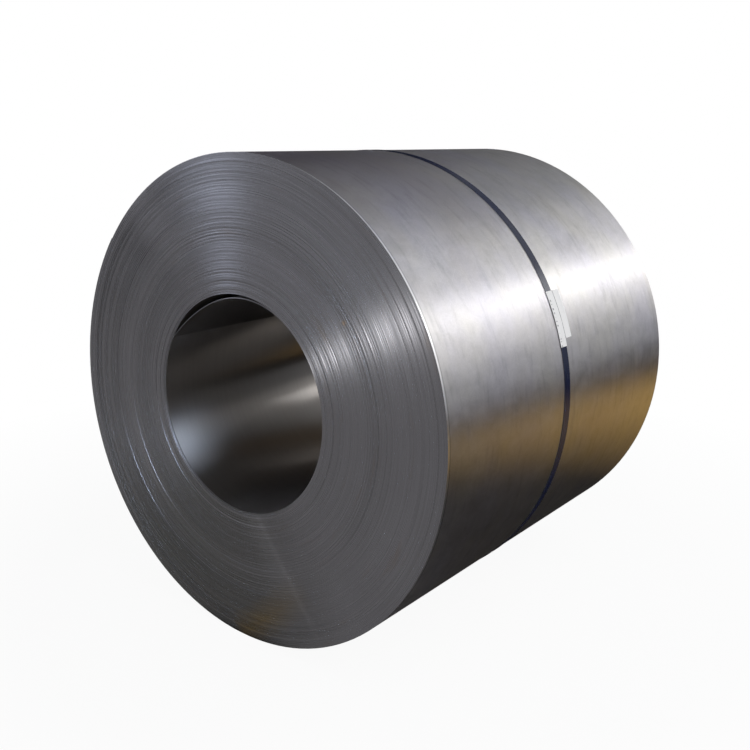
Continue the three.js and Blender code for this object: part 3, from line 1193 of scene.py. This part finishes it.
def make_tag(name, length, y_middle, seat, seed):
    """A thin closed sheet that follows the round of its seat."""
    waves = np.random.default_rng(seed).random((RIPPLES, 4))[:, :3]
    sheet = grid_faces(TAG_ROWS, TAG_COLUMNS)
    base = TAG_ROWS * TAG_COLUMNS
    faces = sheet + [tuple(base + corner for corner in face[::-1]) for face in sheet]
    border = border_of_grid(TAG_ROWS, TAG_COLUMNS)
    for here, after in zip(border, border[1:] + border[:1]):
        faces.append((here, after, base + after, base + here))
    piece = mesh_piece(name, tag_points(length, y_middle, seat, waves), faces, [tag_paper])
    return close_and_lay(piece, TAG_CREASE)


def on_strap(degrees):
    return seat_at(degrees) + CLEARANCE + STRAP_THICKNESS


sheet_tag_y = STRAP_Y + TAG_WIDTH + TAG_SPACING
strap_tag = make_tag("tag_over_strap", STRAP_TAG_LENGTH, STRAP_Y, on_strap, 3)
sheet_tag = make_tag("tag_on_sheet", SHEET_TAG_LENGTH, sheet_tag_y, coil_outside, 8)
for tag, node in ((strap_tag, "tag_on_strap"), (sheet_tag, "tag_beside_strap")):
    report(tag)
    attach(tag, "root")
    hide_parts(node)

# %% [markdown]
# ## The studio
# The floor is one pale sheet that sweeps up into a low round wall, so no edge shows from any side. Its
# material is diffuse for the light that bounces about, and for the eye and for reflections it is mostly an
# even white. Near the coil enough of the diffuse part is left to keep its shadow, and that fades out
# between the two distances below, in metres.

# %% Paint of the floor and wall
WHITE_SHARE = 0.94
SHADOW_FADES = (1.1, 2.4)


def make_floor_paint():
    paint = Finish("studio_paint")
    ray = paint.node("ShaderNodeLightPath")
    seen = paint.amount(ray, "Is Camera Ray") + paint.amount(ray, "Is Glossy Ray")
    seen = (seen + paint.amount(ray, "Is Transmission Ray")).clamped()
    far_off = paint.distance_from_axis().between(*SHADOW_FADES)
    white_share = seen * (WHITE_SHARE + (1.0 - WHITE_SHARE) * far_off)
    matt = paint.node("ShaderNodeBsdfDiffuse", None, {"Color": (0.8, 0.8, 0.8)})
    white = paint.node("ShaderNodeEmission", None, {"Color": (1.0, 1.0, 1.0), "Strength": 1.0})
    parts = {0: white_share, 1: matt.outputs["BSDF"], 2: white.outputs["Emission"]}
    mixed = paint.node("ShaderNodeMixShader", None, parts)
    paint.node("ShaderNodeOutputMaterial", None, {"Surface": mixed.outputs["Shader"]})
    # A white that only eyes and reflections see needn't be sampled as a lamp, which would add noise.
    paint.material.cycles.emission_sampling = "NONE"
    return paint.material


studio_paint = make_floor_paint()
print("made", studio_paint.name)

# %% Floor and wall in one sweep
FLOOR_RADIUS = 9.0
FLAT_RADIUS = 4.0
CORNER_RADIUS = 1.2
WALL_HEIGHT = 4.2
SWEEP_COLUMNS = 96


def make_sweep():
    profile = [(0.0, 0.0), (FLAT_RADIUS, 0.0)]
    for degrees in range(0, 91, 10):
        bend = math.radians(degrees)
        across = FLOOR_RADIUS - CORNER_RADIUS + CORNER_RADIUS * math.sin(bend)
        profile.append((across, CORNER_RADIUS - CORNER_RADIUS * math.cos(bend)))
    profile.append((FLOOR_RADIUS, WALL_HEIGHT))
    points = []
    for column in range(SWEEP_COLUMNS):
        around = 2 * math.pi * column / SWEEP_COLUMNS
        points += [(r * math.cos(around), r * math.sin(around), z) for r, z in profile]
    faces = grid_faces(SWEEP_COLUMNS, len(profile), closed=True)
    piece = mesh_piece("studio_sweep", np.array(points) / MM, faces, [studio_paint])
    weld(piece, 1.0)
    piece.data.shade_smooth()
    return piece


sweep = make_sweep()
report(sweep)

# %% [markdown]
# The room's air gives a dim, slightly cool light from all sides, which keeps the shadows open. It has no
# bright spots, so it needs no sampling of its own.

# %% The room's own light
ROOM_COLOUR = (0.92, 0.95, 1.0, 1.0)
ROOM_STRENGTH = 0.38
world = bpy.data.worlds.new("studio_air")
bpy.context.scene.world = world
world.use_nodes = True
world.cycles.sampling_method = "NONE"
air = world.node_tree.nodes["Background"]
air.inputs["Color"].default_value = ROOM_COLOUR
air.inputs["Strength"].default_value = ROOM_STRENGTH
print("room light", ROOM_STRENGTH)

# %% [markdown]
# Four soft lamps do the rest. The key lamp and the wide glow round it draw the bright band along the coil's
# side, the high lamp lights the top, and a small one in front catches the lean of the cut edges. Each is
# given by where it stands and what it is aimed at.

# %% Aim a lamp or a panel
def face_toward(piece, place, aim):
    """Stands a lamp or a panel at a place, so that its back is to us when we look the way it shines."""
    direction = np.array(aim, float) - np.array(place, float)
    yaw = math.atan2(direction[1], direction[0]) - math.pi / 2
    pitch = math.atan2(direction[2], math.hypot(direction[0], direction[1]))
    piece.location = place
    piece.rotation_euler = (math.pi / 2 + pitch, 0.0, yaw)


print("lamps and panels are aimed by place and target, in metres")

# %% Lamps
COIL_SIDE = (0.6, 0.1, 1.0)


def soft_lamp(name, place, aim, size, power, spread=180.0):
    lamp = bpy.data.lights.new(name, "AREA")
    lamp.shape = "RECTANGLE"
    lamp.size = size[0]
    lamp.size_y = size[1]
    lamp.energy = power
    lamp.spread = math.radians(spread)
    stand = bpy.data.objects.new(name, lamp)
    bpy.context.scene.collection.objects.link(stand)
    face_toward(stand, place, aim)
    stand.visible_camera = False
    print(name, power, "W")


soft_lamp("key_lamp", (2.7, 4.0, 2.45), COIL_SIDE, (0.9, 0.8), 14.5)
soft_lamp("glow_lamp", (2.5, 4.4, 2.75), COIL_SIDE, (4.2, 2.7), 21.0)
soft_lamp("high_lamp", (3.0, -0.2, 3.7), (0.2, 0.0, 0.8), (3.3, 3.3), 67.0)
soft_lamp("front_lamp", (-1.6, -5.7, 0.45), (0.3, -0.6, 0.8), (0.3, 0.3), 1.0, spread=60.0)

# %% [markdown]
# Bright metal shows whatever stands round it. Cards are set about it, as is usual with metal: dark ones, so
# that its sides have something dark to reflect, grey ones, and a brass-coloured patch for a warm band. The
# cards here are seen by reflections only, so they throw no light and no shadow on anything.

# %% Cloth of the cards
DARK = (0.022, 0.020, 0.019)
BRASS = (0.65, 0.41, 0.125)
SHADED = (0.170, 0.166, 0.154)
LIT = (0.335, 0.33, 0.34)
FAR_LIT = (0.42, 0.42, 0.45)
FAR_SHADED = (0.27, 0.27, 0.285)
RIGHT_LIT = (0.43, 0.445, 0.475)


def glowing(paint, colour):
    glow = paint.node("ShaderNodeEmission", None, {"Color": colour, "Strength": 1.0})
    paint.node("ShaderNodeOutputMaterial", None, {"Surface": glow.outputs["Emission"]})
    paint.material.cycles.emission_sampling = "NONE"
    return paint.material


def plain_cloth(name, colour):
    return glowing(Finish(name), colour)


def far_cloth():
    """Grey cloth that is darker toward its left end."""
    paint = Finish("far_cloth")
    toward_right = (paint.parts()[0] + 5.9).between(0.0, 0.9)
    return glowing(paint, paint.blend(toward_right, FAR_SHADED, FAR_LIT))


print("the darkest card has", DARK[0], "of white's brightness")

# %% [markdown]
# The floor that the steel sees isn't one colour: it is dark behind the coil, mid grey in front with a
# shaded strip along the foot of the end, and has a soft brass patch at the right. It is one card, just
# above the real floor, with a blend for each of these.

# %% Cloth that the steel sees in place of the floor
BRASS_MIDDLE = (1.42, 1.85)
BRASS_REACH = (1.15, 1.25)
FRONT_STARTS = 0.62
SHADE_CORNER = (0.19, -0.80)
SHADE_ENDS_LEFT = 1.0


def floor_cloth():
    paint = Finish("floor_cloth")
    x, y = paint.parts()[:2]
    off_x = (x - BRASS_MIDDLE[0]) / BRASS_REACH[0]
    off_y = (y - BRASS_MIDDLE[1]) / BRASS_REACH[1]
    away = paint.node("ShaderNodeVectorMath", {"operation": "LENGTH"}, {0: paint.joined(off_x, off_y, 0.0)})
    patch = 1.0 - paint.amount(away, "Value").between(0.30, 1.10)
    in_front = (-FRONT_STARTS - y).between(0.0, 0.05)
    past_right = (0.61 * (x - SHADE_CORNER[0]) - 0.79 * (y - SHADE_CORNER[1])).between(-0.22, 0.06)
    past_left = (-SHADE_ENDS_LEFT - x).between(0.0, 0.75)
    lit = (past_right + past_left).clamped()
    cloth = paint.blend(in_front, DARK, paint.blend(lit, SHADED, LIT))
    return glowing(paint, paint.blend(patch, cloth, BRASS))


print("the brass patch lies", round(math.hypot(*BRASS_MIDDLE), 2), "m from the middle of the floor")

# %% Cards round the coil
FOUR_CORNERS = [(-1, -1), (1, -1), (1, 1), (-1, 1)]
FLOOR_CARD_HALF = 7.6
ABOVE_FLOOR = 0.002


def as_card(piece):
    """Seen by reflections and nothing else."""
    piece.visible_camera = False
    piece.visible_diffuse = False
    piece.visible_shadow = False
    piece.visible_transmission = False
    piece.visible_volume_scatter = False
    print("card", piece.name)
    return piece


def card(name, corners, paint):
    return as_card(mesh_piece(name, np.array(corners) / MM, [(0, 1, 2, 3)], [paint]))


floor_corners = [(FLOOR_CARD_HALF * x, FLOOR_CARD_HALF * y, ABOVE_FLOOR) for x, y in FOUR_CORNERS]
back_corners = [(-7.0, 5.0, 0.0), (0.3, 5.5, 0.0), (0.3, 5.5, 2.1), (-7.0, 5.0, 9.3)]
card("floor_card", floor_corners, floor_cloth())
card("back_card", back_corners, plain_cloth("back_cloth", DARK))

# %% [markdown]
# The bore is lit by what it sees out of its front end. A soft panel hangs up there: it glows most along
# one side and fades out toward the others, as a lamp at one side of a diffuser does. It would burn out the
# outer wrap as well. A grey flag stops that: it is a flat fan just in front of the end and outside its
# rim, so it stands between the wrap and the panel and leaves the bore's own view of the panel free.

# %% Panels and the flag
FLAG_FRONT = -0.65
FLAG_RADII = (0.70, 4.4)
FLAG_ANGLES = (-5.0, 110.0)
FLAG_COLUMNS = 40
PANEL_FADE = 2.2


def soft_cloth(name, colour, size, peak):
    """Glows most at its peak, a share of the way to its right side, and fades out toward its border."""
    paint = Finish(name)
    x, y = paint.parts()[:2]
    off_x = (x / (size[0] / 2) - peak) / (1.0 + peak)
    off_y = y / (size[1] / 2)
    fade = (1.0 - (off_x * off_x + off_y * off_y)).clamped() ** PANEL_FADE
    return glowing(paint, paint.blend(fade, (0.0, 0.0, 0.0), colour))


def panel(name, place, aim, size, paint):
    """A flat glowing card, wide and tall as told, that faces where it is aimed."""
    corners = [(x * size[0] / 2, y * size[1] / 2, 0.0) for x, y in FOUR_CORNERS]
    piece = card(name, corners, paint)
    face_toward(piece, place, aim)
    return piece


def soft_panel(name, place, aim, size, colour, peak=0.0):
    return panel(name, place, aim, size, soft_cloth(name + "_cloth", colour, size, peak))


def rim_flag():
    points = []
    for degrees in np.linspace(*FLAG_ANGLES, FLAG_COLUMNS):
        for radius in FLAG_RADII:
            across, up = on_circle(radius, degrees)
            points.append((AXIS_X + across, FLAG_FRONT, AXIS_Z + up))
    cloth = plain_cloth("flag_cloth", FAR_LIT)
    return as_card(mesh_piece("rim_flag", np.array(points) / MM, grid_faces(FLAG_COLUMNS, 2), [cloth]))


FRONT_END = (0.0, -0.6, 0.8)
rim_flag()
soft_panel("bore_panel", (1.62, -1.20, 2.38), (-0.25, -0.7, 0.53), (1.1, 3.8), (18.5, 22.5, 29.5), 1.0)
soft_panel("left_panel", (-4.2, -2.5, 1.5), FRONT_END, (0.8, 1.0), (1.4, 1.4, 1.5))
side_glow = plain_cloth("side_glow", (1.5, 1.62, 1.92))
panel("side_panel", (-3.8, -3.8, 1.75), (0.0, -0.6, 0.9), (0.7, 1.2), side_glow)

# %% [markdown]
# Two curved screens stand before the studio's wall, one in front and one at the right. They are grey, and
# give the end and the lower side of the coil something quieter than the white wall to reflect.

# %% Screens along the wall
SCREEN_COLUMNS = 24


def screen(name, radius, first, last, height, paint):
    around = np.radians(np.linspace(first, last, SCREEN_COLUMNS))
    points = [(radius * math.cos(a), radius * math.sin(a), z) for a in around for z in (0.0, height)]
    return as_card(mesh_piece(name, np.array(points) / MM, grid_faces(SCREEN_COLUMNS, 2), [paint]))


screen("front_screen", 7.0, 188.0, 300.0, 4.5, far_cloth())
screen("right_screen", 7.2, -20.0, 86.0, 1.5, plain_cloth("right_cloth", RIGHT_LIT))

# %% [markdown]
# The camera stands at the coil's front right, a little above its top, and looks slightly down. A small
# shift of the lens sets the coil in its place in the frame without turning the camera, so its angle of
# view on the coil stays as it is.

# %% Camera
CAMERA_PLACE = (1.7607, -2.2941, 1.3959)
CAMERA_LOOKS_DOWN = 11.046
CAMERA_TURNED_LEFT = 40.638
camera_data = bpy.data.cameras.new("camera")
camera_data.sensor_width = 36.0
camera_data.lens = 43.81
camera_data.shift_x = 0.0619
camera_data.shift_y = -0.0744
camera = bpy.data.objects.new("camera", camera_data)
bpy.context.scene.collection.objects.link(camera)
camera.location = CAMERA_PLACE
camera.rotation_euler = (math.radians(90.0 - CAMERA_LOOKS_DOWN), 0.0, math.radians(CAMERA_TURNED_LEFT))
bpy.context.scene.camera = camera
print("camera at", tuple(camera.location))

# %% [markdown]
# Standard shows each colour as it is written, with no film-like curve over it. Denoising takes out the
# grain that soft lamps leave on rough metal.

# %% How the light is turned into colours
bpy.context.scene.view_settings.view_transform = "Standard"
bpy.context.scene.cycles.use_denoising = True
print("view transform", bpy.context.scene.view_settings.view_transform)
